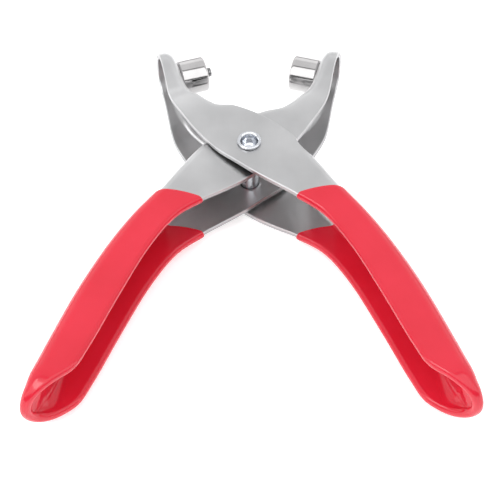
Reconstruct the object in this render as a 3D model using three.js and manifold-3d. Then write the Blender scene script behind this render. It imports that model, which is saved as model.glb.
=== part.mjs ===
// Die-setting pliers: two pressed-steel channel arms that cross on one tubular rivet, dipped vinyl
// grips, and two plated dies that face each other on the jaws, one with a sprung locating pin.
//
// Millimetres, +Z up. The tool lies flat and open: the rivet's axis is the Z axis, its foot rests on
// Z = 0, the jaws point towards +Y and the handles towards -Y.
import * as THREE from 'three';
import * as BufferGeometryUtils from 'three/addons/utils/BufferGeometryUtils.js';
import Module from 'manifold-3d';

const wasm = await Module();
wasm.setup();

// ---------- driving dimensions ----------

const OPEN_HALF_ANGLE = THREE.MathUtils.degToRad(16.5); // each arm's turn away from the closed pose

const SHEET = 1.5;        // thickness of both arms' steel
const COAT = 0.7;         // the grips' outer skin, from the steel's face to the vinyl's face
const COAT_GAP = 0.3;     // clearance between the steel and the vinyl
const SEAT_GAP = 0.1;     // clearance between a fastened piece and its seat
const BEND_RADIUS = 3.0;  // outside radius of the bend between cheek and web

// Half heights over the cheeks, from the tool's mid-plane. The outer arm is spread around the pivot,
// where the inner arm passes between its cheeks.
const HANDLE_HALF_HEIGHT = 8.8;
const JAW_HALF_HEIGHT = 8.6;
const SPREAD_HALF_HEIGHT = 10.9;
const NEST_GAP = 0.3;                   // between the nested cheeks, at the bend
const NESTED_HALF_HEIGHT = SPREAD_HALF_HEIGHT - SHEET - NEST_GAP;
const CHEEK_LEAN = 1.6;                 // how far the nested cheeks lean in at their free edges

const RIVET_HEAD_HEIGHT = 0.9;
const MID_HEIGHT = RIVET_HEAD_HEIGHT + SEAT_GAP + SPREAD_HALF_HEIGHT;
const SPREAD_BOTTOM = MID_HEIGHT - SPREAD_HALF_HEIGHT;
const SPREAD_TOP = MID_HEIGHT + SPREAD_HALF_HEIGHT;

const SHANK_RADIUS = 2.6;
const SHANK_CLEARANCE = 0.2;
const RIVET_HEAD_RADIUS = 4.6;
const WASHER_RADIUS = 4.4;
const WASHER_THICKNESS = 0.5;

const DIE_RADIUS = 5.3;
const DIE_LENGTH = 8.5;
const DIE_HEIGHT_ON_JAW = 40.0;         // distance of the die's axis from the rivet's, along the jaw
const JAW_WEB = -10.2;                  // the jaw web's outer face in the closed pose
const STUD_RADIUS = 2.35;               // the die rivets' shanks
const PIN_RADIUS = 1.4;
const PIN_PROTRUSION = 1.7;

const ROUND = 32;                       // segments of the turned pieces

// An arm's outline in the closed pose, as ribs from the jaw's tip to the handle's end. Each rib runs
// from a point on the free edge of the cheeks to a point on the web. The inner arm is the mirror image.
const RIBS = [
  { web: [-10.2, 48.3], edge: [-14.7, 48.3] }, // tip of the jaw
  { web: [-10.2, 40.0], edge: [-14.9, 40.0] }, // the die's axis
  { web: [-10.1, 31.5], edge: [-15.9, 31.0] },
  { web: [-9.4, 28.0], edge: [-16.3, 27.3] },
  { web: [-8.0, 24.6], edge: [-16.3, 23.0] },
  { web: [-4.0, 18.2], edge: [-14.8, 15.5] },
  { web: [0.5, 15.5], edge: [-13.1, 9.3] },
  { web: [6.0, 10.5], edge: [-9.6, 0.5] }, // pivot zone
  { web: [11.2, 3.3], edge: [-5.6, -5.5] },
  { web: [14.3, -3.0], edge: [-1.6, -11.3] },
  { web: [17.2, -11.0], edge: [3.0, -16.7] },
  { web: [20.8, -22.6], edge: [7.2, -21.4] }, // mouth of the grip
  { web: [24.0, -31.1], edge: [13.1, -29.5] },
  { web: [27.0, -42.0], edge: [16.9, -42.0] },
  { web: [30.2, -60.0], edge: [19.6, -60.5] },
  { web: [32.1, -79.3], edge: [21.8, -79.3] },
  { web: [32.7, -86.7], edge: [23.3, -86.7] },
  { web: [33.2, -92.2], edge: [27.2, -92.2] }, // scooped end of the handle
  { web: [33.7, -98.2], edge: [32.1, -98.0] },
];

const LAST_RIB = RIBS.length - 1;
const GRIP_MOUTH_RIB = 11;

// Both ends of an arm are closed by a half round wall.
const JAW_END = { rib: 1, start: DIE_HEIGHT_ON_JAW, length: 8.3, outward: 1 };
const HANDLE_END = { rib: 16.5, start: -89.4, length: 8.8, outward: -1 };

// The outer arm's web is cut away between these ribs, so that the inner arm can pass. The flat cheeks
// beside the window end this far inside the web's face.
const WINDOW = [5.0, 9.75];
const WINDOW_INSET = { amid: 0.6, atEnds: 1.3 };

// ---------- materials ----------

function steel(color, roughness) {
  return new THREE.MeshStandardMaterial({ color, roughness, metalness: 1 });
}

const NICKEL = () => steel(0xc6c7c9, 0.32);
const CHROME = () => steel(0xdadcde, 0.1);
const SPRING_STEEL = () => steel(0x9a9c9f, 0.3);
const RED_VINYL = () => new THREE.MeshStandardMaterial({
  color: 0xe02a3c,
  roughness: 0.22,
  metalness: 0,
});

// ---------- solids ----------

function toSolid(geometry) {
  const bare = geometry.clone();
  bare.deleteAttribute('normal');
  bare.deleteAttribute('uv');
  const merged = BufferGeometryUtils.mergeVertices(bare, 1e-4);
  return new wasm.Manifold(new wasm.Mesh({
    numProp: 3,
    vertProperties: new Float32Array(merged.attributes.position.array),
    triVerts: new Uint32Array(merged.index.array),
  }));
}

function toGeometry(solid) {
  const mesh = solid.getMesh();
  const geometry = new THREE.BufferGeometry();
  geometry.setAttribute('position', new THREE.BufferAttribute(mesh.vertProperties, 3));
  geometry.setIndex(new THREE.BufferAttribute(mesh.triVerts, 1));
  geometry.computeVertexNormals();
  return geometry;
}

// A closed wall between two grids of points that face each other, one row of points per station.
function wallGeometry(front, back) {
  const rows = front.length;
  const columns = front[0].length;
  const points = [...front.flat(), ...back.flat()];
  const at = (side, row, column) => side * rows * columns + row * columns + column;
  const indices = [];
  const quad = (a, b, c, d) => indices.push(a, b, c, a, c, d);
  for (let i = 0; i < rows - 1; i++) {
    for (let j = 0; j < columns - 1; j++) {
      quad(at(0, i, j), at(0, i + 1, j), at(0, i + 1, j + 1), at(0, i, j + 1));
      quad(at(1, i, j), at(1, i, j + 1), at(1, i + 1, j + 1), at(1, i + 1, j));
    }
    const end = columns - 1;
    quad(at(0, i, 0), at(1, i, 0), at(1, i + 1, 0), at(0, i + 1, 0));
    quad(at(0, i, end), at(0, i + 1, end), at(1, i + 1, end), at(1, i, end));
  }
  const last = rows - 1;
  for (let j = 0; j < columns - 1; j++) {
    quad(at(0, 0, j), at(0, 0, j + 1), at(1, 0, j + 1), at(1, 0, j));
    quad(at(0, last, j), at(1, last, j), at(1, last, j + 1), at(0, last, j + 1));
  }
  const geometry = new THREE.BufferGeometry();
  const coordinates = points.flatMap((p) => p.toArray());
  geometry.setAttribute('position', new THREE.Float32BufferAttribute(coordinates, 3));
  geometry.setIndex(indices);
  return geometry;
}

function mirrored(solid) {
  const geometry = toGeometry(solid);
  geometry.scale(-1, 1, 1);
  const index = geometry.index.array;
  for (let i = 0; i < index.length; i += 3) {
    [index[i], index[i + 1]] = [index[i + 1], index[i]];
  }
  return toSolid(geometry);
}

// ---------- the channel section ----------

const spline = (key) => new THREE.CatmullRomCurve3(
  RIBS.map((rib) => new THREE.Vector3(...rib[key], 0)), false, 'centripetal');
const WEB_LINE = spline('web');
const EDGE_LINE = spline('edge');

const { clamp, lerp, smoothstep } = THREE.MathUtils;

// Half height over the channel's cheeks and the lean of their free edges, at one rib of an arm.
function channelSize(arm, rib) {
  const handleSide = 1 - smoothstep(rib, 8.5, 13);
  const pivotZone = Math.min(smoothstep(rib, 2.5, 5), handleSide);
  const leanZone = Math.min(smoothstep(rib, 5, 8), handleSide);
  const plain = rib < 7 ? JAW_HALF_HEIGHT : HANDLE_HALF_HEIGHT;
  const spread = arm === 'outer' ? SPREAD_HALF_HEIGHT : NESTED_HALF_HEIGHT;
  return {
    halfHeight: lerp(plain, spread, pivotZone),
    lean: arm === 'outer' ? 0 : CHEEK_LEAN * leanZone,
  };
}

// How far a point has gone into an arm's rounded end: the sine is 0 where the end begins, 1 at its tip.
function roundedEnd(web, rib) {
  const end = rib < LAST_RIB / 2 ? JAW_END : HANDLE_END;
  const sine = clamp(((web.y - end.start) * end.outward) / end.length, 0, 1);
  return { ...end, sine, cosine: Math.sqrt(1 - sine * sine) };
}

// One station of a channel's skin: points from the upper free edge over the web to the lower one.
// grow moves the skin out of the steel's outer face; a negative grow moves it into the channel.
// lip moves the free edges outward, and chamfer breaks their corner.
function skinStation(arm, rib, grow, lip, chamfer) {
  const web = WEB_LINE.getPoint(rib / LAST_RIB);
  const edge = EDGE_LINE.getPoint(rib / LAST_RIB);
  const across = web.clone().sub(edge);
  const depth = across.length();
  across.normalize();
  const { halfHeight, lean } = channelSize(arm, rib);
  const end = roundedEnd(web, rib);
  const along = WEB_LINE.getTangent(rib / LAST_RIB).multiplyScalar(-end.outward * grow * end.sine);
  const half = Math.max((halfHeight + grow) * end.cosine, 0.4);
  const steelBend = Math.min(BEND_RADIUS, 0.7 * depth);
  const bend = Math.max(steelBend + grow, 0);
  const intoBend = clamp(end.sine * (end.length + grow) - (end.length - steelBend), 0, bend);
  const fall = bend - Math.sqrt(bend * bend - intoBend * intoBend);
  const reach = Math.max(depth + grow - fall, 0.2 - lip);
  const radius = Math.max(Math.min(bend, half - 0.2, reach + lip - 0.1), 0.1);
  const side = [[-lip, half - chamfer]];
  if (chamfer !== 0) side.push([-lip + Math.min(Math.abs(chamfer), (reach + lip - radius) / 2), half]);
  const steps = 4;
  for (let k = 0; k <= steps; k++) {
    const angle = (k / steps) * Math.PI / 2;
    side.push([reach - radius + radius * Math.sin(angle), half - radius + radius * Math.cos(angle)]);
  }
  const path = [...side, ...side.map(([a, z]) => [a, -z]).reverse()];
  return path.map(([a, z]) => {
    const leanHere = lean * clamp(1 - a / depth, 0, 1) * Math.sign(z);
    return edge.clone().addScaledVector(across, a).add(along).setZ(MID_HEIGHT + z - leanHere);
  });
}

// Stations along the arm between two ribs: evenly spaced, and closing up towards the rounded ends.
const STATIONS = (() => {
  const sines = [1, 2, 3, 4, 5].map((k) => Math.sin((k / 6) * Math.PI / 2));
  const evenly = (from, to, count) => (
    Array.from({ length: count + 1 }, (_, i) => lerp(from, to, i / count)));
  return [
    ...sines.map((sine) => JAW_END.rib * (1 - sine)).reverse(),
    ...evenly(JAW_END.rib, HANDLE_END.rib, 45),
    ...sines.map((sine) => lerp(HANDLE_END.rib, LAST_RIB, sine)),
  ];
})();

function stationsBetween(from, to) {
  return [from, ...STATIONS.filter((rib) => rib > from + 0.03 && rib < to - 0.03), to];
}

function channelWall(arm, [from, to], outward, inward, lip, chamfer = 0) {
  const ribs = stationsBetween(from, to);
  const front = ribs.map((rib) => skinStation(arm, rib, outward, lip, chamfer));
  const back = ribs.map((rib) => skinStation(arm, rib, inward, lip, -chamfer));
  return { front, back };
}

// A flat cheek beside the window; side is 1 for the upper cheek and -1 for the lower one.
function cheekPlate(arm, [from, to], side) {
  const rows = stationsBetween(from, to).map((rib) => {
    const web = WEB_LINE.getPoint(rib / LAST_RIB);
    const edge = EDGE_LINE.getPoint(rib / LAST_RIB);
    const pastStart = smoothstep(rib, from + 0.3, from + 1.3);
    const beforeEnd = 1 - smoothstep(rib, to - 0.9, to - 0.3);
    const amid = Math.min(pastStart, beforeEnd);
    const inset = lerp(WINDOW_INSET.atEnds, WINDOW_INSET.amid, amid);
    const rim = web.clone().addScaledVector(edge.clone().sub(web).normalize(), inset);
    const { halfHeight } = channelSize(arm, rib);
    const level = (point, depth) => point.clone().setZ(MID_HEIGHT + side * (halfHeight - depth));
    return { face: [level(edge, 0), level(rim, 0)], back: [level(edge, SHEET), level(rim, SHEET)] };
  });
  const face = rows.map((row) => row.face);
  const back = rows.map((row) => row.back);
  return toSolid(side > 0 ? wallGeometry(face, back) : wallGeometry(back, face));
}

// ---------- turned pieces ----------

// A turned piece about +Z from (radius, height) points; the profile runs from the axis to the axis.
function turned(profile) {
  return new THREE.LatheGeometry(profile.map(([r, z]) => new THREE.Vector2(r, z)), ROUND)
    .rotateX(Math.PI / 2);
}

function rod(radius, from, to) {
  return turned([[0, from], [radius, from], [radius, to], [0, to]]);
}

function ring(innerRadius, outerRadius, from, to) {
  return turned([[innerRadius, from], [outerRadius, from], [outerRadius, to], [innerRadius, to],
    [innerRadius, from]]);
}

// Moves a piece turned about +Z onto the jaw: its axis along +X, its zero on the web's outer face.
function ontoJaw(geometry) {
  return geometry.rotateY(Math.PI / 2).translate(JAW_WEB, DIE_HEIGHT_ON_JAW, MID_HEIGHT);
}

// ---------- arms ----------

function channelSolid(arm, range) {
  const { front, back } = channelWall(arm, range, 0, -SHEET, 0);
  return toSolid(wallGeometry(front, back));
}

function drilled(solid) {
  return solid
    .subtract(toSolid(rod(SHANK_RADIUS + SHANK_CLEARANCE, -5, SPREAD_TOP + 5)))
    .subtract(toSolid(ontoJaw(rod(STUD_RADIUS + SHANK_CLEARANCE, -4, 4))));
}

function outerArmSolid() {
  const overlap = 0.3;
  const plates = [WINDOW[0] - overlap, WINDOW[1] + overlap];
  return drilled(channelSolid('outer', [0, WINDOW[0]])
    .add(channelSolid('outer', [WINDOW[1], LAST_RIB]))
    .add(cheekPlate('outer', plates, 1))
    .add(cheekPlate('outer', plates, -1)));
}

function innerArmSolid() {
  return drilled(channelSolid('inner', [0, LAST_RIB]));
}

// Dipped vinyl: a skin outside and inside the steel, round its edges and over the handle's end.
function gripSolid(arm) {
  const rim = 0.5;
  const skin = channelWall(arm, [GRIP_MOUTH_RIB, LAST_RIB], COAT, -SHEET - COAT, COAT, rim);
  const steelRange = [GRIP_MOUTH_RIB - 0.3, LAST_RIB];
  const cavity = channelWall(arm, steelRange, COAT_GAP, -SHEET - COAT_GAP, COAT_GAP);
  const skinSolid = toSolid(wallGeometry(skin.front, skin.back));
  const cavitySolid = toSolid(wallGeometry(cavity.front, cavity.back));
  return skinSolid.subtract(cavitySolid);
}

// ---------- pivot ----------

// Factory head below, hollow end flared over the upper cheek.
function pivotRivet() {
  const top = SPREAD_TOP + SEAT_GAP;
  const headTop = RIVET_HEAD_HEIGHT;
  return turned([
    [0, 0],
    [RIVET_HEAD_RADIUS - 0.4, 0],
    [RIVET_HEAD_RADIUS, 0.4],
    [RIVET_HEAD_RADIUS, headTop - 0.15],
    [RIVET_HEAD_RADIUS - 0.15, headTop],
    [SHANK_RADIUS, headTop],
    [SHANK_RADIUS, top],
    [3.15, top],
    [3.4, top + 0.3],
    [3.3, top + 0.7],
    [2.95, top + 0.9],
    [2.5, top + 0.65],
    [2.2, top - 0.1],
    [2.05, top - 1.2],
    [2.05, top - 6],
    [0, top - 7],
  ]);
}

function pivotWasher(from) {
  return ring(SHANK_RADIUS + SHANK_CLEARANCE, WASHER_RADIUS, from, from + WASHER_THICKNESS);
}

// A torsion spring on the rivet's shank: the wire comes in from the outer arm's handle, winds round
// the shank and leaves to the inner arm's handle. Both legs dip below the X axis by the same angle.
class TorsionSpringPath extends THREE.Curve {
  constructor({ radius, bottom, pitch, wholeTurns, legDip, legLength }) {
    super();
    Object.assign(this, { radius, bottom, pitch, legLength });
    this.startAngle = Math.PI / 2 - legDip;
    this.wound = 2 * legDip + wholeTurns * 2 * Math.PI;
    this.coilLength = this.wound * radius;
  }

  getPoint(t) {
    const along = t * (this.coilLength + 2 * this.legLength) - this.legLength;
    const onCoil = clamp(along, 0, this.coilLength);
    const turned = onCoil / this.radius;
    const angle = this.startAngle + turned;
    const height = this.bottom + (this.pitch * turned) / (2 * Math.PI);
    const tangent = new THREE.Vector3(-Math.sin(angle), Math.cos(angle), 0);
    return new THREE.Vector3(Math.cos(angle) * this.radius, Math.sin(angle) * this.radius, height)
      .addScaledVector(tangent, along - onCoil);
  }
}

function wire(path, radius, steps, sides) {
  const section = new THREE.Shape();
  for (let i = 0; i < sides; i++) {
    const angle = (i / sides) * 2 * Math.PI;
    const corner = [radius * Math.cos(angle), radius * Math.sin(angle)];
    if (i === 0) section.moveTo(...corner);
    else section.lineTo(...corner);
  }
  section.closePath();
  return new THREE.ExtrudeGeometry(section, { steps, extrudePath: path, bevelEnabled: false });
}

const TORSION_WIRE = 0.45;  // radius
const TORSION = {
  radius: SHANK_RADIUS + 0.4 + TORSION_WIRE,
  bottom: MID_HEIGHT + 3.5,
  pitch: 1.0,
  wholeTurns: 2,
  legDip: THREE.MathUtils.degToRad(34),
  legLength: 21.5,
};

function returnSpring() {
  return wire(new TorsionSpringPath(TORSION), TORSION_WIRE, 70, 8);
}

// ---------- dies ----------

const CHAMBER_RADIUS = STUD_RADIUS + 0.1;
const CUP_SOCKET = 4.0;  // depth of the cup die's rivet socket

// The outside of both dies, from the edge of the back bore to the flat of the face.
const DIE_OUTSIDE = [
  [CHAMBER_RADIUS, SEAT_GAP],
  [DIE_RADIUS - 0.4, SEAT_GAP],
  [DIE_RADIUS, 0.5],
  [DIE_RADIUS, DIE_LENGTH - 1.0],
  [DIE_RADIUS - 0.3, DIE_LENGTH - 0.3],
  [DIE_RADIUS - 1.0, DIE_LENGTH],
];

// Bored through: a chamber for the pin's collar and spring, and a narrow mouth that lets the pin out.
function pinDie() {
  const mouth = PIN_RADIUS + 0.15;
  const shoulder = DIE_LENGTH - 2.0;
  return turned([
    ...DIE_OUTSIDE,
    [mouth, DIE_LENGTH],
    [mouth, shoulder],
    [CHAMBER_RADIUS, shoulder],
    DIE_OUTSIDE[0],
  ]);
}

// Blind at both ends: a cup in the face, which the pin enters, and a socket for the rivet.
function cupDie() {
  const cupRadius = 1.9;
  const cupFloor = DIE_LENGTH - 3.0;
  return turned([
    [0, CUP_SOCKET],
    [CHAMBER_RADIUS, CUP_SOCKET],
    ...DIE_OUTSIDE,
    [cupRadius + 0.7, DIE_LENGTH],
    [cupRadius, DIE_LENGTH - 0.6],
    [cupRadius, cupFloor],
    [0, cupFloor],
  ]);
}

const COLLAR_TOP = DIE_LENGTH - 2.3;
const COLLAR_BOTTOM = COLLAR_TOP - 0.9;
const STUD_TIP = 2.6;

function locatingPin() {
  const tip = DIE_LENGTH + PIN_PROTRUSION;
  return turned([
    [0, COLLAR_BOTTOM],
    [CHAMBER_RADIUS - 0.2, COLLAR_BOTTOM],
    [CHAMBER_RADIUS - 0.2, COLLAR_TOP],
    [PIN_RADIUS, COLLAR_TOP],
    [PIN_RADIUS, tip - 0.6],
    [PIN_RADIUS - 0.2, tip - 0.2],
    [PIN_RADIUS - 0.6, tip],
    [0, tip],
  ]);
}

class HelixPath extends THREE.Curve {
  constructor({ radius, from, to, turns }) {
    super();
    Object.assign(this, { radius, from, to, turns });
  }

  getPoint(t) {
    const angle = t * this.turns * 2 * Math.PI;
    const height = lerp(this.from, this.to, t);
    return new THREE.Vector3(Math.cos(angle) * this.radius, Math.sin(angle) * this.radius, height);
  }
}

const PIN_WIRE = 0.2;

function pinSpring() {
  const path = new HelixPath({
    radius: CHAMBER_RADIUS - 0.25 - PIN_WIRE,
    from: STUD_TIP + 0.15 + PIN_WIRE,
    to: COLLAR_BOTTOM - 0.15 - PIN_WIRE,
    turns: 3,
  });
  return wire(path, PIN_WIRE, 36, 6);
}

// Head inside the channel, shank through the web and into the back of the die.
function dieRivet(tip) {
  const seat = -SHEET - SEAT_GAP;
  return turned([
    [0, seat - 1.3],
    [2.2, seat - 1.2],
    [3.1, seat - 0.8],
    [3.5, seat - 0.3],
    [3.5, seat],
    [STUD_RADIUS, seat],
    [STUD_RADIUS, tip],
    [0, tip],
  ]);
}

// ---------- assembly ----------

function mesh(name, geometry, material) {
  const piece = new THREE.Mesh(geometry, material);
  piece.name = name;
  return piece;
}

const outerArm = new THREE.Group();
outerArm.rotation.z = OPEN_HALF_ANGLE;
outerArm.add(
  mesh('outer_arm', toGeometry(outerArmSolid()), NICKEL()),
  mesh('outer_arm_grip', toGeometry(gripSolid('outer')), RED_VINYL()),
  mesh('pin_die', ontoJaw(pinDie()), CHROME()),
  mesh('pin_die_rivet', ontoJaw(dieRivet(STUD_TIP)), NICKEL()),
  mesh('locating_pin', ontoJaw(locatingPin()), CHROME()),
  mesh('pin_spring', ontoJaw(pinSpring()), SPRING_STEEL()),
);

const innerArm = new THREE.Group();
innerArm.rotation.z = -OPEN_HALF_ANGLE;
innerArm.add(
  mesh('inner_arm', toGeometry(mirrored(innerArmSolid())), NICKEL()),
  mesh('inner_arm_grip', toGeometry(mirrored(gripSolid('inner'))), RED_VINYL()),
  mesh('cup_die', toGeometry(mirrored(toSolid(ontoJaw(cupDie())))), CHROME()),
  mesh('cup_die_rivet', toGeometry(mirrored(toSolid(ontoJaw(dieRivet(CUP_SOCKET - 0.3))))), NICKEL()),
);

const pivot = new THREE.Group();
pivot.add(
  mesh('pivot_rivet', pivotRivet(), CHROME()),
  mesh('pivot_washer_upper', pivotWasher(SPREAD_TOP - SHEET - SEAT_GAP - WASHER_THICKNESS), NICKEL()),
  mesh('pivot_washer_lower', pivotWasher(SPREAD_BOTTOM + SHEET + SEAT_GAP), NICKEL()),
  mesh('return_spring', returnSpring(), SPRING_STEEL()),
);

const pliers = new THREE.Group();
pliers.add(outerArm, innerArm, pivot);

export default pliers;
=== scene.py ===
"""Die-setting pliers: pressed-steel arms, dipped vinyl grips and plated dies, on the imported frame.

Lengths in this file are in millimetres until a mesh is made. An arm is drawn in the closed pose, jaw
towards +Y, and then turned by half the opening angle. The inner arm is the outer arm's mirror image.
"""
import math

import bmesh
import bpy
import numpy as np
from mathutils import Matrix, Vector


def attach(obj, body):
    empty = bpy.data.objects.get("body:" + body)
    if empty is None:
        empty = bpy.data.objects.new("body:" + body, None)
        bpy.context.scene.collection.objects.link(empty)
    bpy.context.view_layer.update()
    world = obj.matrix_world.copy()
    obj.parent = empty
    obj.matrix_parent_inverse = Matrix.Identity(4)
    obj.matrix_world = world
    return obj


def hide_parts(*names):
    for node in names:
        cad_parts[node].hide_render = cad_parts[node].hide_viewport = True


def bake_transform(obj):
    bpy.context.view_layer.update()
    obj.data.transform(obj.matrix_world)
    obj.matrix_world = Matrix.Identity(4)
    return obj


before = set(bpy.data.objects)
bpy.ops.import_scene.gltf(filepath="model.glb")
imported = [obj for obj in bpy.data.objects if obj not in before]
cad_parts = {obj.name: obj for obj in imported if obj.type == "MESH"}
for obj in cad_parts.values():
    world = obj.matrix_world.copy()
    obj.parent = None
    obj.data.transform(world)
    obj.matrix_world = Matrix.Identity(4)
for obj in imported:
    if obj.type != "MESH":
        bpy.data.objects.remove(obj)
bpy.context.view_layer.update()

MM = 0.001
OPEN_HALF_ANGLE = math.radians(16.5)

# ---------- dimensions shared with the CAD ----------

SHEET = 1.5                 # thickness of both arms' steel
COAT = 0.7                  # the grips' outer skin, on the steel
SEAT_GAP = 0.1              # between a fastened piece and its seat
BEND_RADIUS = 3.0           # outside radius of the bend between cheek and web

# Half heights over the cheeks, from the tool's mid-plane. The outer arm is spread around the pivot,
# where the inner arm passes between its cheeks.
HANDLE_HALF_HEIGHT = 8.8
JAW_HALF_HEIGHT = 8.6
SPREAD_HALF_HEIGHT = 10.9
NESTED_HALF_HEIGHT = 9.1
CHEEK_LEAN = 1.6            # how far the nested cheeks lean in at their free edges
MID_HEIGHT = 11.9
SPREAD_TOP = MID_HEIGHT + SPREAD_HALF_HEIGHT
SPREAD_BOTTOM = MID_HEIGHT - SPREAD_HALF_HEIGHT

RIVET_HEAD_RADIUS = 4.6
RIVET_HEAD_HEIGHT = 0.9
SHANK_RADIUS = 2.6
SHANK_CLEARANCE = 0.2
WASHER_RADIUS = 4.4
WASHER_THICKNESS = 0.5

DIE_RADIUS = 5.3
DIE_LENGTH = 8.5
DIE_HEIGHT_ON_JAW = 40.0    # distance of the die's axis from the rivet's, along the jaw
JAW_WEB = -10.2             # the jaw web's outer face in the closed pose
STUD_RADIUS = 2.35          # the die rivets' shanks
PIN_RADIUS = 1.4
PIN_PROTRUSION = 1.7

# An arm's outline: (web point, free edge point) from the jaw's tip to the handle's end.
RIBS = [
    ((-10.2, 48.3), (-14.7, 48.3)),
    ((-10.2, 40.0), (-14.9, 40.0)),
    ((-10.1, 31.5), (-15.9, 31.0)),
    ((-9.4, 28.0), (-16.3, 27.3)),
    ((-8.0, 24.6), (-16.3, 23.0)),
    ((-4.0, 18.2), (-14.8, 15.5)),
    ((0.5, 15.5), (-13.1, 9.3)),
    ((6.0, 10.5), (-9.6, 0.5)),
    ((11.2, 3.3), (-5.6, -5.5)),
    ((14.3, -3.0), (-1.6, -11.3)),
    ((17.2, -11.0), (3.0, -16.7)),
    ((20.8, -22.6), (7.2, -21.4)),
    ((24.0, -31.1), (13.1, -29.5)),
    ((27.0, -42.0), (16.9, -42.0)),
    ((30.2, -60.0), (19.6, -60.5)),
    ((32.1, -79.3), (21.8, -79.3)),
    ((32.7, -86.7), (23.3, -86.7)),
    ((33.2, -92.2), (27.2, -92.2)),
    ((33.7, -98.2), (32.1, -98.0)),
]
LAST_RIB = len(RIBS) - 1
JAW_END_RIB = 1.0           # both ends are turned about an axis here
PIVOT_RIB = 7.0
GRIP_MOUTH_RIB = 11.0
BOWL_START_RIB = 14.5       # the channel's corners widen from here towards the scooped end
HANDLE_END_RIB = 16.5
WINDOW = (5.0, 9.75)        # the outer arm's web is cut away between these ribs

# Stretches of ribs over which the section changes.
SPREAD_STARTS = (2.5, 5)    # the cheeks spread
LEAN_STARTS = (5, 8)        # the nested cheeks begin to lean
HANDLE_STARTS = (8.5, 13)   # both fade into the handle's plain section


# ---------- outline curves ----------

def centripetal(points, t):
    """Centripetal Catmull-Rom point at t, counted in points."""
    first = min(int(t), len(points) - 2)
    local = t - first
    p1, p2 = points[first], points[first + 1]
    p0 = points[first - 1] if first > 0 else 2 * p1 - p2
    p3 = points[first + 2] if first + 2 < len(points) else 2 * p2 - p1
    d0, d1, d2 = (math.sqrt(np.linalg.norm(b - a)) for a, b in ((p0, p1), (p1, p2), (p2, p3)))
    m1 = ((p1 - p0) / d0 - (p2 - p0) / (d0 + d1) + (p2 - p1) / d1) * d1
    m2 = ((p2 - p1) / d1 - (p3 - p1) / (d1 + d2) + (p3 - p2) / d2) * d1
    a = 2 * p1 - 2 * p2 + m1 + m2
    b = -3 * p1 + 3 * p2 - 2 * m1 - m2
    return ((a * local + b) * local + m1) * local + p1


WEB_POINTS = [np.array(web) for web, _ in RIBS]
EDGE_POINTS = [np.array(edge) for _, edge in RIBS]


def web_at(rib):
    return centripetal(WEB_POINTS, rib)


def edge_at(rib):
    return centripetal(EDGE_POINTS, rib)


def smoothstep(value, low, high):
    x = min(max((value - low) / (high - low), 0.0), 1.0)
    return x * x * (3 - 2 * x)


def lerp(a, b, t):
    return a + (b - a) * t


TANGENT_STEP = 0.2          # in ribs


class Station:
    """One cross-section of an arm. turn is its angle about the end's axis, 0 along the straight part."""

    def __init__(self, arm, rib, turn=0.0):
        base = min(max(rib, JAW_END_RIB), HANDLE_END_RIB)
        on_jaw_side = rib < PIVOT_RIB
        self.rib = rib
        self.turn = turn
        self.web = web_at(base)
        across = self.web - edge_at(base)
        self.across = across / np.linalg.norm(across)
        self.depth = np.linalg.norm(web_at(rib) - edge_at(rib))
        outward = web_at(base) - web_at(base + (TANGENT_STEP if on_jaw_side else -TANGENT_STEP))
        self.outward = outward / np.linalg.norm(outward)
        before_handle = 1 - smoothstep(rib, *HANDLE_STARTS)
        zone = min(smoothstep(rib, *SPREAD_STARTS), before_handle)
        plain = JAW_HALF_HEIGHT if on_jaw_side else HANDLE_HALF_HEIGHT
        spread = SPREAD_HALF_HEIGHT if arm == "outer" else NESTED_HALF_HEIGHT
        self.half = lerp(plain, spread, zone)
        lean = min(smoothstep(rib, *LEAN_STARTS), before_handle)
        self.lean = 0.0 if arm == "outer" else CHEEK_LEAN * lean

    def place(self, a, height):
        """The 3-D point at distance a from the free edge and at that height over the mid-plane."""
        lean = self.lean * min(max(1 - a / self.depth, 0.0), 1.0)
        if height != 0:
            height -= math.copysign(lean, height)
        flat = self.web + self.across * (a - self.depth)
        flat = flat + self.outward * abs(height) * math.sin(self.turn)
        return np.array([flat[0], flat[1], MID_HEIGHT + height * math.cos(self.turn)])


STATIONS_PER_RIB = 6
END_STATIONS = 12           # about the axis of an end


def stations(arm, start, stop):
    """Stations from rib to rib, with a fan of them about the axis of each end that is reached."""
    made = []
    if start <= 0:
        for k in range(END_STATIONS):
            turn = math.pi / 2 * (1 - k / END_STATIONS)
            made.append(Station(arm, JAW_END_RIB * (1 - math.sin(turn)), turn))
    low, high = max(start, JAW_END_RIB), min(stop, HANDLE_END_RIB)
    count = math.ceil((high - low) * STATIONS_PER_RIB)
    made += [Station(arm, lerp(low, high, k / count)) for k in range(count + 1)]
    if stop >= LAST_RIB:
        for k in range(1, END_STATIONS + 1):
            turn = math.pi / 2 * k / END_STATIONS
            made.append(Station(arm, lerp(HANDLE_END_RIB, LAST_RIB, math.sin(turn)), turn))
    return made


# ---------- meshes ----------

# Material slots of a walled piece: its outside, its inside, its edges, and two more on the arms: the
# jaws' inside, painted darker, and a painted black shade over the nested cheek.
OUTSIDE, INSIDE, EDGE, JAW_INSIDE, PAINTED_SHADE_SLOT = range(5)


def to_object(name, bm, smooth_angle):
    """A smooth-shaded object, with a crease at every edge sharper than the angle in degrees."""
    mesh = bpy.data.meshes.new(name)
    bm.to_mesh(mesh)
    bm.free()
    obj = bpy.data.objects.new(name, mesh)
    bpy.context.scene.collection.objects.link(obj)
    for polygon in mesh.polygons:
        polygon.use_smooth = True
    mesh.set_sharp_from_angle(angle=math.radians(smooth_angle))
    return obj


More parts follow.
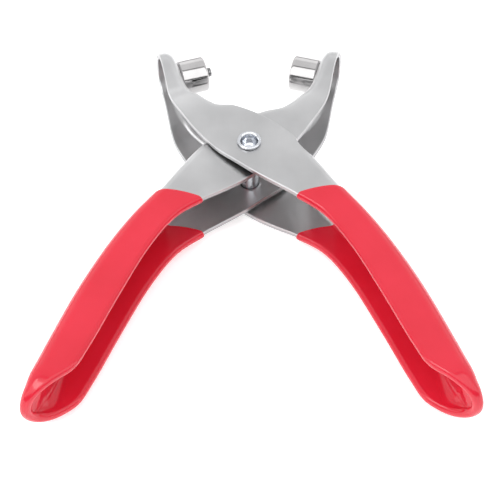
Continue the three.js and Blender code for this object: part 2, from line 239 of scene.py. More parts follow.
def shell(name, front, back, rounded_rows, keep=None, smooth_angle=40):
    """A closed wall between two grids of points, with side walls round every face that keep leaves out.

    Faces made from front get the slot OUTSIDE, those from back INSIDE, and the side walls EDGE. In a
    rounded row both halves of the section meet, so the wall closes on itself there.
    """
    rows, columns = len(front), len(front[0])
    keep = keep or (lambda row, column: True)
    bm = bmesh.new()
    grids = [[[bm.verts.new(Vector(p) * MM) for p in row] for row in grid] for grid in (front, back)]
    kept = {(i, j) for i in range(rows - 1) for j in range(columns - 1) if keep(i, j)}

    def quad(corners, slot):
        if len(set(corners)) == 4:
            face = bm.faces.new(corners)
            face.material_index = slot

    for i, j in kept:
        cells = ((i, j), (i + 1, j), (i + 1, j + 1), (i, j + 1))
        quad([grids[0][r][c] for r, c in cells], OUTSIDE)
        quad([grids[1][r][c] for r, c in reversed(cells)], INSIDE)
        neighbours = ((i, j - 1), (i + 1, j), (i, j + 1), (i - 1, j))
        row_at_side = (None, i + 1, None, i)
        for side, neighbour in enumerate(neighbours):
            if neighbour not in kept and row_at_side[side] not in rounded_rows:
                (r0, c0), (r1, c1) = cells[side], cells[(side + 1) % 4]
                quad([grids[0][r1][c1], grids[0][r0][c0], grids[1][r0][c0], grids[1][r1][c1]], EDGE)
    bmesh.ops.delete(bm, geom=[v for v in bm.verts if not v.link_faces], context="VERTS")
    bmesh.ops.remove_doubles(bm, verts=bm.verts, dist=1e-6)
    bmesh.ops.recalc_face_normals(bm, faces=bm.faces)
    return to_object(name, bm, smooth_angle)


def lathe(name, profile, segments=96):
    """A piece turned about +Z from (radius, height) points, from axis to axis or as a closed ring."""
    bm = bmesh.new()
    closed_ring = profile[0][0] > 0
    loops = []
    for radius, height in profile:
        if radius <= 0:
            loops.append([bm.verts.new((0, 0, height * MM))])
            continue
        ring = []
        for k in range(segments):
            angle = 2 * math.pi * k / segments
            x, y = radius * math.cos(angle), radius * math.sin(angle)
            ring.append(bm.verts.new((x * MM, y * MM, height * MM)))
        loops.append(ring)
    pairs = list(zip(loops, loops[1:]))
    if closed_ring:
        pairs.append((loops[-1], loops[0]))
    for low, high in pairs:
        for k in range(segments):
            n = (k + 1) % segments
            corners = [low[k % len(low)], low[n % len(low)], high[n % len(high)], high[k % len(high)]]
            unique = list(dict.fromkeys(corners))
            if len(unique) >= 3:
                bm.faces.new(unique)
    bmesh.ops.recalc_face_normals(bm, faces=bm.faces)
    return to_object(name, bm, 35)


def rounded(profile, radii, steps=5):
    """A turned profile with fillets: radii maps a corner's index to its fillet radius."""
    made = []
    for i, point in enumerate(profile):
        if i not in radii:
            made.append(point)
            continue
        corner = np.array(point, float)
        towards = [np.array(profile[i + d], float) - corner for d in (-1, 1)]
        lengths = [np.linalg.norm(v) for v in towards]
        units = [v / length for v, length in zip(towards, lengths)]
        half_angle = math.acos(max(-1, min(1, float(units[0] @ units[1])))) / 2
        reach = min(radii[i] / math.tan(half_angle), 0.49 * lengths[0], 0.49 * lengths[1])
        start, stop = corner + units[0] * reach, corner + units[1] * reach
        for k in range(steps + 1):
            t = k / steps
            made.append(tuple((1 - t) ** 2 * start + 2 * t * (1 - t) * corner + t * t * stop))
    return made


EDGE_ROUNDING = 0.36


def bevelled(obj):
    """Rounds every edge sharper than 50 degrees, and gives the roundings the outside's material."""
    modifier = obj.modifiers.new("rounded edges", "BEVEL")
    modifier.material = OUTSIDE
    modifier.width = EDGE_ROUNDING * MM
    modifier.segments = 3
    modifier.limit_method = "ANGLE"
    modifier.angle_limit = math.radians(50)
    modifier.harden_normals = True
    modifier.use_clamp_overlap = False
    return obj


def on_arm(obj, arm):
    """Turns a piece drawn in the outer arm's closed pose into its place at rest."""
    if arm == "outer":
        place = Matrix.Rotation(OPEN_HALF_ANGLE, 4, "Z")
    else:
        place = Matrix.Rotation(-OPEN_HALF_ANGLE, 4, "Z") @ Matrix.Scale(-1, 4, (1, 0, 0))
    obj.data.transform(place)
    if arm == "inner":
        obj.data.flip_normals()
    return obj


def on_jaw(obj, arm):
    """Lays a piece turned about +Z along the die's axis, its zero on the web's outer face."""
    obj.data.transform(Matrix.Translation(Vector((JAW_WEB, DIE_HEIGHT_ON_JAW, MID_HEIGHT)) * MM)
                       @ Matrix.Rotation(math.pi / 2, 4, "Y"))
    return on_arm(obj, arm)


# ---------- arms ----------

CHEEK_COLUMNS = 6
BEND_COLUMNS = 8
WEB_COLUMNS = 3
CHEEK_CROWDING = 0.7        # under 1, the cheek's columns crowd towards the bend
KEPT_BEND = 4               # bend columns that the cheeks keep beside the window
BEND_SHARE = 0.7            # the bend takes at most this share of a shallow section
LEAST_BEND = 0.3
LEAST_INNER_BEND = 0.05
WINDOW_RUN_IN = 1.1         # ribs over which the cheeks flatten at the window's start
WINDOW_RUN_OUT = 0.3        # and bend again at its end
WINDOW_INSET = 0.6          # the cheeks' edge amid the window, inside the web's face
WINDOW_NOTCH = 0.9          # how much further in it goes just before the web starts again
NOTCH_STARTS = (8.7, 9.2)   # in ribs
NOTCH_ENDS = (9.45, 9.7)
HOLE_RADIUS = SHANK_RADIUS + SHANK_CLEARANCE
END_THINNING = 1.1          # the web's inner face stays this far from the free edge at the handle's tip


def steel_bend(station):
    return min(BEND_RADIUS, BEND_SHARE * station.depth)


def window_share(arm, rib):
    """1 where the web is cut away and the cheeks are flat to their rims, 0 where the web is whole."""
    start, stop = WINDOW
    if arm == "inner" or not start < rib < stop:
        return 0
    run_in = smoothstep(rib, start, start + WINDOW_RUN_IN)
    run_out = smoothstep(rib, stop - WINDOW_RUN_OUT, stop)
    return min(run_in, 1 - run_out)


def steel_columns(station, window):
    """(outer, inner) points of the section's upper half, from the free edge to the web's middle."""
    notch = min(smoothstep(station.rib, *NOTCH_STARTS), 1 - smoothstep(station.rib, *NOTCH_ENDS))
    inset = WINDOW_INSET + WINDOW_NOTCH * notch
    reach, half, bend = station.depth, station.half, steel_bend(station)
    outer, inner = [], []
    for k in range(CHEEK_COLUMNS):
        a = (reach - bend) * (k / CHEEK_COLUMNS) ** CHEEK_CROWDING
        outer.append((a, half))
        inner.append((a, half - SHEET))
    inner_bend = max(bend - SHEET, LEAST_INNER_BEND)
    thinned = END_THINNING if station.rib > HANDLE_END_RIB else -math.inf
    for k in range(BEND_COLUMNS + 1):
        angle = math.pi / 2 * k / BEND_COLUMNS
        out = (reach - bend + bend * math.sin(angle), half - bend + bend * math.cos(angle))
        inn = (max(reach - SHEET - inner_bend + inner_bend * math.sin(angle), thinned),
               half - SHEET - inner_bend + inner_bend * math.cos(angle))
        if window > 0 and k <= KEPT_BEND:
            flat = reach - bend + (bend - inset) * k / KEPT_BEND
            out = (lerp(out[0], flat, window), lerp(out[1], half, window))
            inn = (lerp(inn[0], flat, window), lerp(inn[1], half - SHEET, window))
        outer.append(out)
        inner.append(inn)
    inner_start = inner[-1][0]
    inner_top = half - SHEET - inner_bend
    for k in range(1, WEB_COLUMNS + 1):
        share = k / WEB_COLUMNS
        outer.append((reach, (half - bend) * (1 - share)))
        inner.append((lerp(inner_start, reach - SHEET, share), inner_top * (1 - share)))
    return outer, inner


def both_halves(upper):
    """The section's points from the upper free edge over the web to the lower one."""
    return upper + [(a, -height) for a, height in reversed(upper[:-1])]


def build_arm(arm):
    """The pressed channel of an arm, without its pivot holes."""
    made = stations(arm, 0, LAST_RIB)
    front, back = [], []
    for station in made:
        outer, inner = steel_columns(station, window_share(arm, station.rib))
        front.append([station.place(a, height) for a, height in both_halves(outer)])
        back.append([station.place(a, height) for a, height in both_halves(inner)])
    kept = CHEEK_COLUMNS + KEPT_BEND
    columns = len(front[0])

    def keep(row, column):
        middle = (made[row].rib + made[row + 1].rib) / 2
        return window_share(arm, middle) == 0 or not kept <= column < columns - 1 - kept

    return on_arm(shell(f"{arm}_arm_steel", front, back, {0, len(made) - 1}, keep), arm)


def drilled(obj):
    """Drills the pivot's hole after the edges are rounded, and takes the cutter out of the scene."""
    low, high = -5, 30      # past both cheeks
    cutter = lathe("pivot_hole", [(0, low), (HOLE_RADIUS, low), (HOLE_RADIUS, high), (0, high)])
    modifier = obj.modifiers.new("hole", "BOOLEAN")
    modifier.object = cutter
    modifier.solver = "EXACT"
    cut = bpy.data.meshes.new_from_object(obj.evaluated_get(bpy.context.evaluated_depsgraph_get()))
    obj.modifiers.clear()
    obj.data = cut
    bpy.data.objects.remove(cutter)
    return obj


LIP_COLUMNS = 6
INNER_COAT = 0.5            # the vinyl's skin inside the channel
GRIP_CORNER_RADIUS = 1.6    # inside the channel
GRIP_BOWL_RADIUS = 4.5      # the same corner in the scooped end
MOUTH_ROWS = 6
MOUTH_SKIN = 0.08           # the vinyl's skin at the mouth's very edge
MOUTH_LENGTH = 1.8          # over which the vinyl swells to its full thickness
MOUTH_RIB_LENGTH = 10.6     # from the mouth's rib to the next one, along the arm
MOUTH_ARCH = 0.10           # how far the mouth's line bows towards the pivot, in ribs
MOUTH_DRAW = 0.08           # how far it draws back at the cheeks' free edges, in ribs
MOUTH_DRAW_FADES = (-1.1, 2.0)  # over this distance from the free edge
MOUTH_ARCH_RIBS = 1.2       # the bow fades out over these


def grip_columns(station, skin):
    """(outer, inner) points of the grip's upper half; skin is the vinyl's thickness on the steel."""
    thickness = SHEET + skin + min(skin, INNER_COAT)
    reach = station.depth + skin
    half = station.half + skin
    lip_centre = (-skin + thickness / 2, half - thickness / 2)
    outer, inner = [], []
    for k in range(LIP_COLUMNS + 1):
        angle = math.pi / 2 * k / LIP_COLUMNS
        along, up = math.cos(angle) * thickness / 2, math.sin(angle) * thickness / 2
        outer.append((lip_centre[0] - along, lip_centre[1] + up))
        inner.append((lip_centre[0] - along, lip_centre[1] - up))
    start = lip_centre[0]
    bend = min(steel_bend(station) + skin, max(reach - start - LEAST_BEND, LEAST_BEND))
    bowl_share = smoothstep(station.rib, BOWL_START_RIB, HANDLE_END_RIB)
    corner = lerp(GRIP_CORNER_RADIUS, GRIP_BOWL_RADIUS, bowl_share)
    inner_bend = min(corner, max(reach - thickness - start, LEAST_INNER_BEND))
    for k in range(1, CHEEK_COLUMNS):
        share = 0.5 - 0.5 * math.cos(math.pi * k / CHEEK_COLUMNS)
        outer.append((lerp(start, reach - bend, share), half))
        inner.append((lerp(start, max(reach - thickness - inner_bend, start), share), half - thickness))
    for k in range(BEND_COLUMNS + 1):
        angle = math.pi / 2 * k / BEND_COLUMNS
        outer.append((reach - bend + bend * math.sin(angle), half - bend + bend * math.cos(angle)))
        inner.append((max(reach - thickness - inner_bend, start) + inner_bend * math.sin(angle),
                      half - thickness - inner_bend + inner_bend * math.cos(angle)))
    outer_top, (inner_start, inner_top) = outer[-1][1], inner[-1]
    for k in range(1, WEB_COLUMNS + 1):
        share = k / WEB_COLUMNS
        outer.append((reach, outer_top * (1 - share)))
        inner.append((lerp(inner_start, reach - thickness, share), inner_top * (1 - share)))
    return outer, inner


def build_grip(arm):
    """The vinyl round an arm's handle, inside and out, with a rounded mouth and a scooped end."""
    front, back = [], []
    swell = MOUTH_LENGTH / MOUTH_RIB_LENGTH

    def arched(station, a, height, arch_share):
        """The section's point, moved along the arm so that the mouth's line bows."""
        across = min(max(a / station.depth, 0.0), 1.0)
        bow = -MOUTH_ARCH * math.sin(math.pi * across)
        draw = MOUTH_DRAW * (1 - smoothstep(a, *MOUTH_DRAW_FADES))
        moved = Station(arm, station.rib + (bow + draw) * arch_share)
        return moved.place(a * moved.depth / station.depth, height)

    def add(station, skin, arch_share):
        outer, inner = grip_columns(station, skin)
        for grid, upper in ((front, outer), (back, inner)):
            points = both_halves(upper)
            if arch_share == 0:
                grid.append([station.place(a, height) for a, height in points])
            else:
                grid.append([arched(station, a, height, arch_share) for a, height in points])

    for k in range(MOUTH_ROWS):
        t = k / MOUTH_ROWS
        skin = lerp(MOUTH_SKIN, COAT, math.sqrt(1 - (1 - t) ** 2))
        add(Station(arm, GRIP_MOUTH_RIB + (1 - math.sqrt(1 - t * t)) * swell), skin, 1.0)
    for station in stations(arm, GRIP_MOUTH_RIB + swell, LAST_RIB):
        add(station, COAT, 1 - smoothstep(station.rib, GRIP_MOUTH_RIB, GRIP_MOUTH_RIB + MOUTH_ARCH_RIBS))
    return on_arm(shell(f"{arm}_arm_vinyl", front, back, {len(front) - 1}, smooth_angle=70), arm)


# ---------- turned pieces ----------

RIVET_RING_RADIUS = 3.45


def build_rivet():
    """The tubular rivet: a flat head on the table, the shank, and a flared ring round a deep recess.

    The ring's and the recess's heights are counted from the shank's top.
    """
    top = SPREAD_TOP + SEAT_GAP
    head = [(0, 0.25), (1.6, 0.25), (2.0, 0), (4.2, 0), (RIVET_HEAD_RADIUS, 0.4),
            (RIVET_HEAD_RADIUS, RIVET_HEAD_HEIGHT)]
    shank = [(SHANK_RADIUS, RIVET_HEAD_HEIGHT), (SHANK_RADIUS, top)]
    ring = [(3.25, 0), (RIVET_RING_RADIUS, 0.25), (3.42, 0.62), (3.15, 0.88), (2.8, 0.84)]
    recess = [(2.45, 0.45), (2.25, -0.1), (2.05, -1.2), (1.85, -2.4), (1.3, -2.9), (0, -3.0)]
    profile = head + shank + [(radius, top + height) for radius, height in ring + recess]
    fillets = {2: 0.3, 4: 0.5, 5: 0.3, 9: 0.3, 10: 0.25, 11: 0.3, 12: 0.3, 13: 0.5, 16: 0.5, 17: 0.4}
    return lathe("pivot_rivet_turned", rounded(profile, fillets))


WASHER_CHAMFER = 0.1


def build_washer(name, bottom):
    inner = SHANK_RADIUS + SHANK_CLEARANCE
    top = bottom + WASHER_THICKNESS
    profile = [(inner, bottom), (WASHER_RADIUS - WASHER_CHAMFER, bottom),
               (WASHER_RADIUS, bottom + WASHER_CHAMFER), (WASHER_RADIUS, top - WASHER_CHAMFER),
               (WASHER_RADIUS - WASHER_CHAMFER, top), (inner, top)]
    return lathe(name, profile)


DIE_STEP_RADIUS = DIE_RADIUS - 0.75     # of the seat on the jaw
PIN_CLEARANCE = 0.15
BORE_DEPTH = 3.6
CUP_RADIUS = 1.9
CUP_MOUTH_RADIUS = 2.6
CUP_DEPTH = 3
DIE_SEGMENTS = 7                        # of each fillet

# Both dies from the middle of the seat to the rim of the face, and the fillets of its corners.
DIE_BODY = [(0, SEAT_GAP), (3.0, SEAT_GAP), (DIE_STEP_RADIUS, SEAT_GAP), (DIE_STEP_RADIUS, 0.45),
            (DIE_RADIUS - 0.35, 0.6), (DIE_RADIUS, 0.95), (DIE_RADIUS, DIE_LENGTH)]
DIE_FILLETS = {4: 0.2, 5: 0.2, 6: 0.9}


def build_pin_die():
    bore = PIN_RADIUS + PIN_CLEARANCE
    mouth = [(bore + 0.3, DIE_LENGTH), (bore, DIE_LENGTH - 0.3)]
    bottom = [(bore, DIE_LENGTH - BORE_DEPTH), (0, DIE_LENGTH - BORE_DEPTH)]
    return lathe("pin_die_body", rounded(DIE_BODY + mouth + bottom, DIE_FILLETS, DIE_SEGMENTS))


def build_cup_die():
    mouth = [(CUP_MOUTH_RADIUS, DIE_LENGTH), (CUP_RADIUS, DIE_LENGTH - 0.6)]
    bottom = [(CUP_RADIUS, DIE_LENGTH - CUP_DEPTH), (0, DIE_LENGTH - CUP_DEPTH)]
    fillets = DIE_FILLETS | {7: 0.15, 8: 0.15, 9: 0.5}
    return lathe("cup_die_body", rounded(DIE_BODY + mouth + bottom, fillets, DIE_SEGMENTS))


SMALL_SEGMENTS = 64                     # round the pin and the die rivets
PIN_GROOVE = 0.2


def build_pin():
    """The sprung pin, with a groove just outside the die's face and a round tip."""
    tail = DIE_LENGTH - 1.9
    tip = DIE_LENGTH + PIN_PROTRUSION
    groove = PIN_RADIUS - PIN_GROOVE
    profile = [(0, tail), (PIN_RADIUS, tail), (PIN_RADIUS, DIE_LENGTH + 0.35),
               (groove, DIE_LENGTH + 0.5), (groove, DIE_LENGTH + 0.65),
               (PIN_RADIUS, DIE_LENGTH + 0.8), (PIN_RADIUS, tip), (0, tip)]
    fillets = {3: 0.1, 4: 0.1, 5: 0.15, 6: 0.85}
    return lathe("locating_pin_turned", rounded(profile, fillets, 6), SMALL_SEGMENTS)


STUD_HEAD_RADIUS = 3.5
PIN_DIE_STUD_TIP = 2.6                  # from the web's outer face, into the die
CUP_DIE_STUD_TIP = 3.7


def build_stud(name, tip):
    """A die's rivet: a domed head inside the channel and a shank through the web into the die."""
    seat = -SHEET - SEAT_GAP
    dome = [(0, 1.3), (1.2, 1.28), (2.2, 1.15), (3.0, 0.75), (STUD_HEAD_RADIUS, 0.25)]
    profile = [(radius, seat - rise) for radius, rise in dome]
    profile += [(STUD_HEAD_RADIUS, seat), (STUD_RADIUS, seat), (STUD_RADIUS, tip), (0, tip)]
    return lathe(name, rounded(profile, {1: 0.8, 2: 0.8, 3: 0.8, 4: 0.2, 5: 0.1}), SMALL_SEGMENTS)


# ---------- springs ----------

WIRE_RADIUS = 0.45
WIRE_SIDES = 12


def wire(name, path):
    """A round wire along a list of points, with capped ends."""
    bm = bmesh.new()
    points = [Vector(p) for p in path]
    normal = None
    rings = []
    for i, point in enumerate(points):
        tangent = (points[min(i + 1, len(points) - 1)] - points[max(i - 1, 0)]).normalized()
        if normal is None:
            normal = tangent.orthogonal().normalized()
        normal = (normal - tangent * normal.dot(tangent)).normalized()
        other = tangent.cross(normal)
        ring = []
        for k in range(WIRE_SIDES):
            angle = 2 * math.pi * k / WIRE_SIDES
            offset = (normal * math.cos(angle) + other * math.sin(angle)) * WIRE_RADIUS
            ring.append(bm.verts.new((point + offset) * MM))
        rings.append(ring)
    for low, high in zip(rings, rings[1:]):
        for k in range(WIRE_SIDES):
            n = (k + 1) % WIRE_SIDES
            bm.faces.new((low[k], low[n], high[n], high[k]))
    bm.faces.new(rings[0])
    bm.faces.new(rings[-1])
    bmesh.ops.recalc_face_normals(bm, faces=bm.faces)
    return to_object(name, bm, 50)


TORSION_CLEARANCE = 0.4                 # between the coil and the rivet's shank
TORSION_RADIUS = SHANK_RADIUS + TORSION_CLEARANCE + WIRE_RADIUS
TORSION_BOTTOM = MID_HEIGHT + 3.5
TORSION_PITCH = 1.0
TORSION_DIP = math.radians(34)          # both legs point this far from the X axis towards the handles
TORSION_WINDING = 2 * TORSION_DIP + 4 * math.pi     # two turns, and on to the second leg
TORSION_LEG = 21.5


def torsion_point(angle, beyond=0.0):
    """A point of the spring's wire after that much winding, and then straight on for beyond."""
    turned = math.pi / 2 - TORSION_DIP + angle
    along = np.array([-math.sin(turned), math.cos(turned), 0])
    base = np.array([math.cos(turned) * TORSION_RADIUS, math.sin(turned) * TORSION_RADIUS,
                     TORSION_BOTTOM + TORSION_PITCH * angle / (2 * math.pi)])
    return base + along * beyond


def build_return_spring():
    leg_steps, coil_steps = 16, 120
    path = [torsion_point(0, -TORSION_LEG * (1 - k / leg_steps)) for k in range(leg_steps)]
    path += [torsion_point(TORSION_WINDING * k / coil_steps) for k in range(coil_steps)]
    path += [torsion_point(TORSION_WINDING, TORSION_LEG * k / leg_steps) for k in range(leg_steps + 1)]
    return wire("return_spring_wire", path)


# ---------- materials ----------

def nodes_of(name):
    material = bpy.data.materials.new(name)
    material.use_nodes = True
    tree = material.node_tree
    return material, tree, tree.nodes["Principled BSDF"]


def node(tree, kind, inputs=None, **settings):
    made = tree.nodes.new(kind)
    for key, value in settings.items():
        setattr(made, key, value)
    for key, value in (inputs or {}).items():
        made.inputs[key].default_value = value
    return made


def noise(tree, scale, detail, stretch=(1, 1, 1), turn=0.0):
    """A noise texture in object space, scaled per metre and stretched along the turned axes."""
    coordinates = node(tree, "ShaderNodeTexCoord")
    mapping = node(tree, "ShaderNodeMapping")
    mapping.inputs["Scale"].default_value = stretch
    mapping.inputs["Rotation"].default_value = (0, 0, turn)
    texture = node(tree, "ShaderNodeTexNoise", {"Scale": scale, "Detail": detail})
    tree.links.new(coordinates.outputs["Object"], mapping.inputs["Vector"])
    tree.links.new(mapping.outputs["Vector"], texture.inputs["Vector"])
    return texture.outputs["Fac"]


NOISE_RANGE = (0.3, 0.7)    # that a noise texture mostly stays in


def spread(tree, value, low, high, source=NOISE_RANGE):
    """Maps a value from the source range to the range low to high."""
    mapped = node(tree, "ShaderNodeMapRange",
                  {"From Min": source[0], "From Max": source[1], "To Min": low, "To Max": high})
    tree.links.new(value, mapped.inputs["Value"])
    return mapped.outputs["Result"]


def mixed_colour(tree, value, low, high):
    """Maps a noise value to the colours from low to high."""
    ramp = node(tree, "ShaderNodeValToRGB")
    for element, position, colour in zip(ramp.color_ramp.elements, NOISE_RANGE, (low, high)):
        element.position = position
        element.color = (*colour, 1)
    tree.links.new(value, ramp.inputs["Fac"])
    return ramp.outputs["Color"]


def bump(tree, shader, layers):
    """Stacks (height, strength, distance in millimetres) layers on the shader's normal."""
    previous = None
    for height, strength, distance in layers:
        layer = node(tree, "ShaderNodeBump", {"Strength": strength, "Distance": distance * MM})
        tree.links.new(height, layer.inputs["Height"])
        if previous:
            tree.links.new(previous.outputs["Normal"], layer.inputs["Normal"])
        previous = layer
    tree.links.new(previous.outputs["Normal"], shader.inputs["Normal"])


def plated(name, low, high, roughness, grain, turn=0.0, wave=0.2):
    """Plated steel: cloudy colour, fine rolling grain along the arm, and a faintly wavy sheet."""
    material, tree, shader = nodes_of(name)
    shader.inputs["Metallic"].default_value = 1.0
    clouds = noise(tree, 60, 3)
    tree.links.new(mixed_colour(tree, clouds, low, high), shader.inputs["Base Color"])
    streaks = noise(tree, 1500, 5, (1, 0.08, 1), turn)
    tree.links.new(spread(tree, streaks, *roughness), shader.inputs["Roughness"])
    bump(tree, shader, [
        (noise(tree, 45, 2), wave, 0.6),
        (noise(tree, 2600, 3), grain, 0.03),
    ])
    return material


def polished(name, low, high, roughness, grain=0.12):
    """Bright plating on a turned piece: cloudy colour, tight reflections and a faintly uneven face."""
    material, tree, shader = nodes_of(name)
    shader.inputs["Metallic"].default_value = 1.0
    clouds = noise(tree, 150, 3)
    tree.links.new(mixed_colour(tree, clouds, low, high), shader.inputs["Base Color"])
    tree.links.new(spread(tree, noise(tree, 700, 4), *roughness), shader.inputs["Roughness"])
    bump(tree, shader, [(noise(tree, 260, 3), grain, 0.12), (noise(tree, 2200, 3), grain, 0.02)])
    return material


VINYL_LOW, VINYL_HIGH = (0.610, 0.014, 0.033), (0.670, 0.019, 0.043)


def vinyl(name):
    """Dipped vinyl: glossy, slightly wavy from dripping, with a few small pimples."""
    material, tree, shader = nodes_of(name)
    clouds = noise(tree, 55, 3)
    tree.links.new(mixed_colour(tree, clouds, VINYL_LOW, VINYL_HIGH), shader.inputs["Base Color"])
    tree.links.new(spread(tree, noise(tree, 160, 4), 0.10, 0.20), shader.inputs["Roughness"])
    shader.inputs["IOR"].default_value = 1.5
    shader.inputs["Subsurface Weight"].default_value = 0.12
    shader.inputs["Subsurface Radius"].default_value = (1.0, 0.2, 0.2)
    shader.inputs["Subsurface Scale"].default_value = 0.8 * MM
    pimples = node(tree, "ShaderNodeTexVoronoi", {"Scale": 130.0})
    coordinates = node(tree, "ShaderNodeTexCoord")
    tree.links.new(coordinates.outputs["Object"], pimples.inputs["Vector"])
    raised = spread(tree, pimples.outputs["Distance"], 1.0, 0.0, (0.0, 0.09))
    bump(tree, shader, [
        (noise(tree, 48, 2), 0.30, 0.9),
        (noise(tree, 420, 3), 0.10, 0.10),
        (raised, 0.25, 0.12),
    ])
    return material


# ---------- pieces ----------

NICKEL_LOW, NICKEL_HIGH = (0.505, 0.506, 0.511), (0.625, 0.625, 0.630)
# The channels' insides are the same nickel, painted lighter in the handles and painted darker in the
# jaws, for the light that falls there.
HANDLE_PAINTED_LIGHT_LOW, HANDLE_PAINTED_LIGHT_HIGH = (0.700, 0.700, 0.705), (0.800, 0.798, 0.802)
JAW_PAINTED_SHADE_LOW, JAW_PAINTED_SHADE_HIGH = (0.360, 0.360, 0.365), (0.540, 0.534, 0.538)
# Painted black shade under the outer arm's upper cheek, so that the gap between the nested cheeks reads
# black.
GAP_PAINTED_SHADE_LOW, GAP_PAINTED_SHADE_HIGH = (0.006, 0.006, 0.007), (0.02, 0.019, 0.018)
# The sheet's sheared edges, painted darker as shade for the dark floor that they reflect.
EDGE_SHADE_LOW, EDGE_SHADE_HIGH = (0.36, 0.36, 0.365), (0.46, 0.46, 0.465)
SATIN = (0.30, 0.40)        # roughness
UNPOLISHED = (0.34, 0.44)
SATIN_GRAIN = 0.20
GRAIN_TURN = 0.9            # of the outer arm's rolling grain and, mirrored, the inner arm's
INSIDE_WAVE = 0.3
nickel = {
    "outer": plated("satin nickel, outer arm", NICKEL_LOW, NICKEL_HIGH, SATIN, SATIN_GRAIN, -GRAIN_TURN),
    "inner": plated("satin nickel, inner arm", NICKEL_LOW, NICKEL_HIGH, SATIN, SATIN_GRAIN, GRAIN_TURN),
}
# Lit and shaded copies of one nickel: painted light inside the handles, painted shade inside the jaws.
handle_inside_painted_light = plated("unpolished nickel inside the handles, painted lighter", HANDLE_PAINTED_LIGHT_LOW, HANDLE_PAINTED_LIGHT_HIGH, UNPOLISHED,
                       0.0, wave=INSIDE_WAVE)
jaw_inside_painted_shade = plated("unpolished nickel inside the jaws, painted darker", JAW_PAINTED_SHADE_LOW, JAW_PAINTED_SHADE_HIGH, UNPOLISHED,
                    0.0, wave=INSIDE_WAVE)
# Painted black shade between the cheeks, not grease.
gap_painted_shade = plated("painted black shade between the cheeks", GAP_PAINTED_SHADE_LOW, GAP_PAINTED_SHADE_HIGH, (0.4, 0.55), 0.0)
# Sheared edges with painted shade: darker than the plated faces.
sheared_edge_and_shade = plated("sheared sheet edge, painted darker", EDGE_SHADE_LOW, EDGE_SHADE_HIGH, (0.3, 0.42), 0.0)
small_nickel = polished("nickel, small parts", (0.55, 0.55, 0.56), (0.66, 0.66, 0.66), (0.18, 0.28))
chrome = polished("polished chrome", (0.545, 0.535, 0.535), (0.620, 0.608, 0.608), (0.05, 0.11), 0.2)
rivet_chrome = polished("bright rivet plating", (0.60, 0.615, 0.645), (0.69, 0.705, 0.735), (0.12, 0.2))
pin_steel = polished("hardened pin steel", (0.20, 0.20, 0.205), (0.34, 0.34, 0.345), (0.12, 0.2))
wire_steel = polished("drawn spring wire", (0.40, 0.41, 0.42), (0.52, 0.53, 0.54), (0.2, 0.3), 0.2)
red_vinyl = vinyl("glossy red vinyl")

JAW_INSIDE_FROM = 2.0       # ahead of the pivot
PAINTED_SHADE_RADIUS = 21.0       # about the pivot, where the underside of the outer arm's upper cheek is painted black as shade


def sort_inside_faces(steel, arm):
    """Tells the jaw's inside, painted darker, and the face painted black as shade over the nested cheek,
    from the handle's inside, painted lighter.
    """
    for polygon in steel.data.polygons:
        if polygon.material_index != INSIDE:
            continue
        centre = polygon.center / MM
        over_nest = centre.z > SPREAD_TOP - 2 * SHEET and centre.xy.length < PAINTED_SHADE_RADIUS
        if arm == "outer" and over_nest:
            # painted black shade over the nested cheek
            polygon.material_index = PAINTED_SHADE_SLOT
        elif centre.y > JAW_INSIDE_FROM:
            # the jaw's inside, painted darker as shade
            polygon.material_index = JAW_INSIDE


def finish_piece(obj, body, slot, node_name, *materials):
    """Gives a piece its materials and its body, and hides the node that it stands for. slot is not used.
    """
    for material in materials:
        obj.data.materials.append(material)
    if body:
        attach(obj, body)
    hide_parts(node_name)


for arm in ("outer", "inner"):
    steel = bevelled(build_arm(arm))
    for material in (nickel[arm], handle_inside_painted_light, sheared_edge_and_shade, jaw_inside_painted_shade, gap_painted_shade):
        steel.data.materials.append(material)
    steel = drilled(steel)
    sort_inside_faces(steel, arm)
    finish_piece(steel, arm, "nickel_plate", f"{arm}_arm")
    finish_piece(build_grip(arm), arm, "red_vinyl", f"{arm}_arm_grip", red_vinyl, red_vinyl, red_vinyl)

finish_piece(build_rivet(), "outer", "chrome_plate", "pivot_rivet", rivet_chrome)
finish_piece(build_washer("washer_upper", SPREAD_TOP - SHEET - SEAT_GAP - WASHER_THICKNESS), "outer",
             "nickel_plate", "pivot_washer_upper", small_nickel)
finish_piece(build_washer("washer_lower", SPREAD_BOTTOM + SHEET + SEAT_GAP), "outer", "nickel_plate",
             "pivot_washer_lower", small_nickel)
finish_piece(on_jaw(build_pin_die(), "outer"), "outer", "chrome_plate", "pin_die", chrome)
finish_piece(on_jaw(build_cup_die(), "inner"), "inner", "chrome_plate", "cup_die", chrome)
finish_piece(on_jaw(build_pin(), "outer"), "pin", "chrome_plate", "locating_pin", pin_steel)
finish_piece(on_jaw(build_stud("pin_die_stud", PIN_DIE_STUD_TIP), "outer"), "outer",
             "nickel_plate", "pin_die_rivet", small_nickel)
finish_piece(on_jaw(build_stud("cup_die_stud", CUP_DIE_STUD_TIP), "inner"), "inner",
             "nickel_plate", "cup_die_rivet", small_nickel)

spring = build_return_spring()
finish_piece(spring, None, "spring_steel", "return_spring", wire_steel)
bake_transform(spring)

pin_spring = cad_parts["pin_spring"]
pin_spring.data.materials.clear()
pin_spring.data.materials.append(wire_steel)

# ---------- floor, light and camera ----------

floor_material, _, floor_shader = nodes_of("white floor")
floor_shader.inputs["Base Color"].default_value = (0.97, 0.97, 0.97, 1)
floor_shader.inputs["Roughness"].default_value = 0.6
floor_shader.inputs["Specular IOR Level"].default_value = 0.2
floor_shader.inputs["Emission Color"].default_value = (1, 1, 1, 1)
floor_shader.inputs["Emission Strength"].default_value = 0.4
bpy.ops.mesh.primitive_plane_add(size=8)
floor = bpy.context.object
floor.name = "floor"
floor.data.materials.append(floor_material)


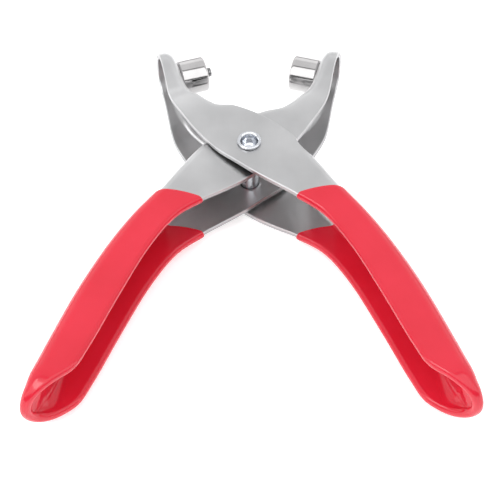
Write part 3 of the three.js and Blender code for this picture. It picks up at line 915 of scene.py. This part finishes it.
# The room's brightness along the way from the front horizon (0) over the zenith to the back one (1).
STUDIO_SWEEP = [
    (0.0, 0.12), (0.10, 0.14), (0.165, 0.16),       # dark front
    (0.20, 1.75), (0.485, 1.75),                    # softbox overhead
    (0.505, 0.35), (0.525, 0.35),                   # dark gap
    (0.55, 0.93), (0.76, 0.95),                     # pale back wall
    (0.82, 1.3), (0.92, 1.3),                       # softbox at the back
    (0.97, 0.5), (1.0, 0.4),
]
BLUE_CAST = 1.005


def studio_world():
    """A room that is the same along X, and changes in brightness about the X axis."""
    world = bpy.data.worlds.new("studio")
    bpy.context.scene.world = world
    world.use_nodes = True
    tree = world.node_tree
    coordinates = node(tree, "ShaderNodeTexCoord")
    split = node(tree, "ShaderNodeSeparateXYZ")
    backwards = node(tree, "ShaderNodeMath", operation="MULTIPLY")
    backwards.inputs[1].default_value = -1
    angle = node(tree, "ShaderNodeMath", operation="ARCTAN2")
    share = node(tree, "ShaderNodeMath", operation="DIVIDE")
    share.inputs[1].default_value = math.pi
    ramp = node(tree, "ShaderNodeValToRGB")
    ramp.color_ramp.interpolation = "EASE"
    elements = ramp.color_ramp.elements
    while len(elements) < len(STUDIO_SWEEP):
        elements.new(0.5)
    for element, (position, level) in zip(elements, STUDIO_SWEEP):
        element.position = position
        element.color = (level, level, level * BLUE_CAST, 1)
    tree.links.new(coordinates.outputs["Generated"], split.inputs["Vector"])
    tree.links.new(split.outputs["Y"], backwards.inputs[0])
    tree.links.new(split.outputs["Z"], angle.inputs[0])
    tree.links.new(backwards.outputs[0], angle.inputs[1])
    tree.links.new(angle.outputs[0], share.inputs[0])
    tree.links.new(share.outputs[0], ramp.inputs["Fac"])
    tree.links.new(ramp.outputs["Color"], tree.nodes["Background"].inputs["Color"])


studio_world()


def soft_light(name, position, size, power):
    """A rectangular light at a place in metres, turned towards the object."""
    data = bpy.data.lights.new(name, "AREA")
    data.shape = "RECTANGLE"
    data.size, data.size_y = size
    data.energy = power
    obj = bpy.data.objects.new(name, data)
    bpy.context.scene.collection.objects.link(obj)
    obj.location = position
    obj.rotation_euler = (-Vector(position)).to_track_quat("-Z", "Y").to_euler()


soft_light("key softbox", (-0.5, -0.35, 0.75), (0.5, 0.35), 2.0)

CAMERA_ELEVATION = math.radians(50.65)
CAMERA_AZIMUTH = math.radians(0.29)
CAMERA_ROLL = math.radians(-0.835)
CAMERA_DISTANCE = 0.6
CAMERA_TARGET = Vector((-0.000123, -0.021022, 0))
CAMERA_LENS = 151.2
CAMERA_SENSOR = 36

camera_data = bpy.data.cameras.new("camera")
camera_data.lens = CAMERA_LENS
camera_data.sensor_width = CAMERA_SENSOR
camera = bpy.data.objects.new("camera", camera_data)
bpy.context.scene.collection.objects.link(camera)
flat = math.cos(CAMERA_ELEVATION)
towards_camera = Vector((flat * math.sin(CAMERA_AZIMUTH), -flat * math.cos(CAMERA_AZIMUTH),
                         math.sin(CAMERA_ELEVATION)))
level_view = (-towards_camera).to_track_quat("-Z", "Y").to_matrix()
camera.location = CAMERA_TARGET + towards_camera * CAMERA_DISTANCE
camera.rotation_euler = (level_view @ Matrix.Rotation(CAMERA_ROLL, 3, "Z")).to_euler()
bpy.context.scene.camera = camera
bpy.context.scene.view_settings.view_transform = "Standard"
